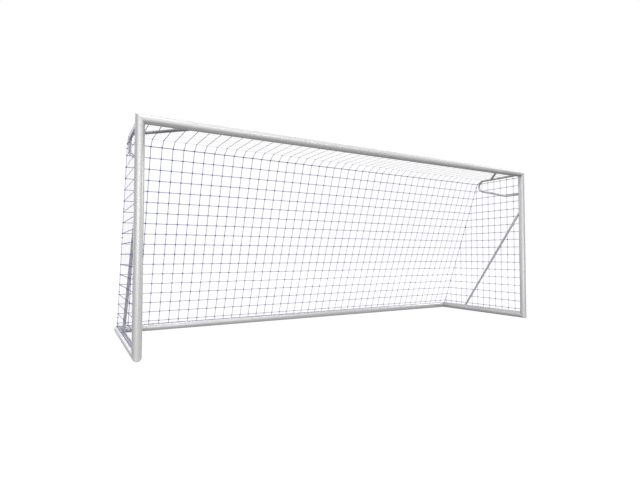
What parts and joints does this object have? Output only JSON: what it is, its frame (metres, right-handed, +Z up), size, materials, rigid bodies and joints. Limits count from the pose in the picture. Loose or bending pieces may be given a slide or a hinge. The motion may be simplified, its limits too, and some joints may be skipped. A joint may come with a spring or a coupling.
{
  "type": "soccer goal",
  "caption": "Free-standing round-tube soccer goal with a ground frame, net hoops, braces, struts and a hung net.",
  "frame": {"origin": "on the ground, in the middle of the goal's footprint", "axes": "+X along the crossbar to the goal's right as seen from the pitch, +Y from the mouth to the back, +Z up"},
  "size_m": [5.16, 1.6, 2.08],
  "materials": {
    "tube_aluminium": "satin, naturally anodised",
    "bar_aluminium": "satin, naturally anodised, slightly darker",
    "connector_aluminium": "as cast, shot blasted",
    "screw_steel": "plain stainless",
    "hook_plastic": "moulded grey",
    "net_cord": "knotted polypropylene cord, dark blue"
  },
  "bodies": {
    "root": {"left_post": "tube_aluminium", "left_ground_tube": "tube_aluminium", "left_net_hoop": "bar_aluminium", "left_top_brace": "bar_aluminium", "left_strut": "bar_aluminium", "right_post": "tube_aluminium", "right_ground_tube": "tube_aluminium", "right_net_hoop": "bar_aluminium", "right_top_brace": "bar_aluminium", "right_strut": "bar_aluminium", "crossbar": "tube_aluminium", "rear_ground_tube": "tube_aluminium", "left_top_connector": "connector_aluminium", "left_top_screw_a": "screw_steel", "left_top_screw_b": "screw_steel", "left_front_connector": "connector_aluminium", "left_front_screw_a": "screw_steel", "left_front_screw_b": "screw_steel", "left_rear_connector": "connector_aluminium", "left_rear_screw_a": "screw_steel", "left_rear_screw_b": "screw_steel", "right_top_connector": "connector_aluminium", "right_top_screw_a": "screw_steel", "right_top_screw_b": "screw_steel", "right_front_connector": "connector_aluminium", "right_front_screw_a": "screw_steel", "right_front_screw_b": "screw_steel", "right_rear_connector": "connector_aluminium", "right_rear_screw_a": "screw_steel", "right_rear_screw_b": "screw_steel", "crossbar_hook_strip": "hook_plastic", "rear_hook_strip": "hook_plastic", "left_post_hook_strip": "hook_plastic", "left_ground_hook_strip": "hook_plastic", "right_post_hook_strip": "hook_plastic", "right_ground_hook_strip": "hook_plastic", "roof_net": "net_cord", "shoulder_net": "net_cord", "back_net": "net_cord", "left_side_net": "net_cord", "right_side_net": "net_cord"}
  },
  "joints": []
}
